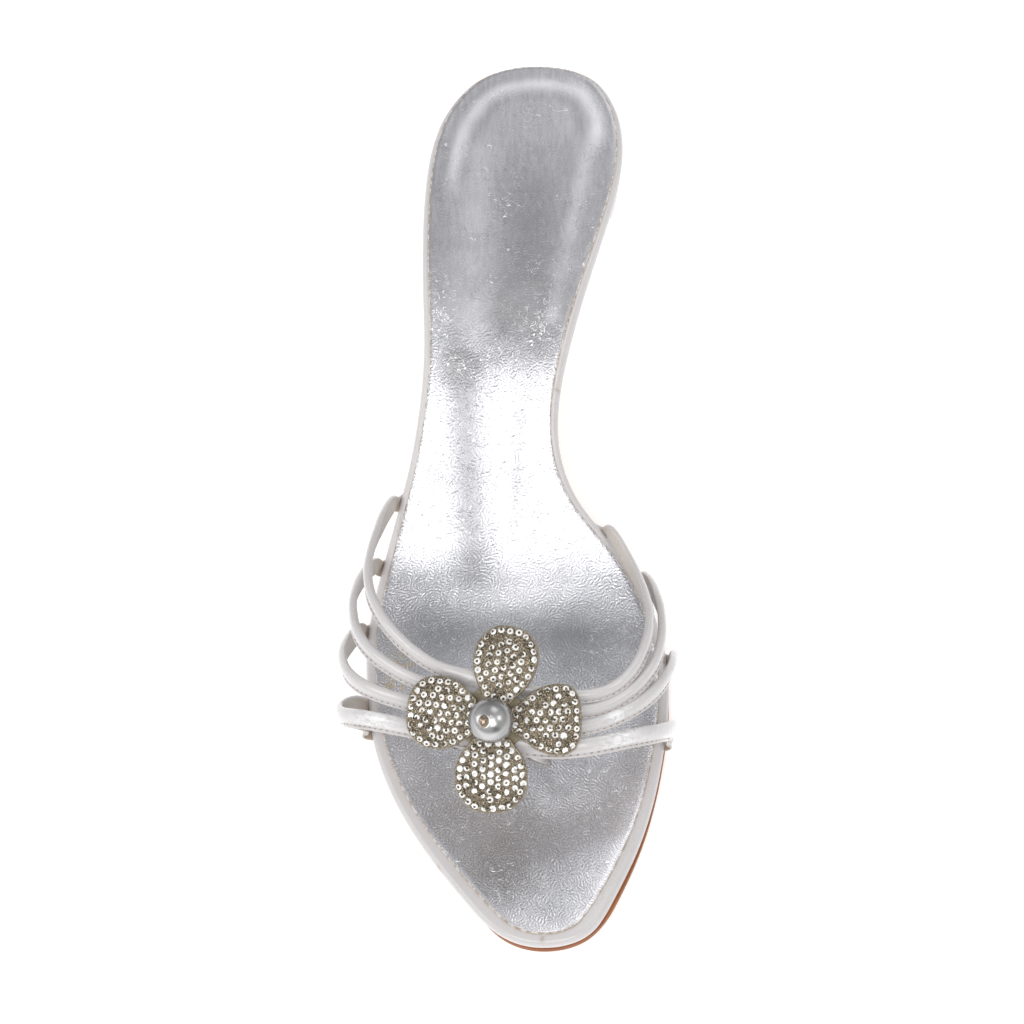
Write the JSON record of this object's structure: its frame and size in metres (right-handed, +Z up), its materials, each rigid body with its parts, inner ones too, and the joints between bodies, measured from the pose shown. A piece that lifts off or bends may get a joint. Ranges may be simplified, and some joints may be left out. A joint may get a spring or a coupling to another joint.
{
  "type": "kitten heel mule",
  "caption": "Open-toe slip-on shoe with a low curved heel, narrow straps crossing the forefoot under a jewelled flower, and a silver insole with a white rim.",
  "frame": {"origin": "centre of the shoe's plan box, on the floor it stands on", "axes": "+Z up, +Y from the toe to the heel, +X from the lateral to the medial side"},
  "size_m": [0.0858, 0.23, 0.056],
  "materials": {
    "white_leather": "smooth, softly glossy",
    "silver_leather": "crinkled metallic foil",
    "sole_leather": "satin",
    "tip_rubber": "matt",
    "antique_brass": "darkened",
    "polished_silver": "polished"
  },
  "bodies": {
    "root": {"outsole": "sole_leather", "footbed_board": "white_leather", "insole_sock": "silver_leather", "heel": "white_leather", "heel_top_piece": "tip_rubber", "upper_straps": "white_leather", "flower_plate": "antique_brass", "petal_top": "antique_brass", "petal_right": "antique_brass", "petal_bottom": "antique_brass", "petal_left": "antique_brass", "bead": "polished_silver", "bead_pin": "antique_brass"}
  },
  "joints": []
}
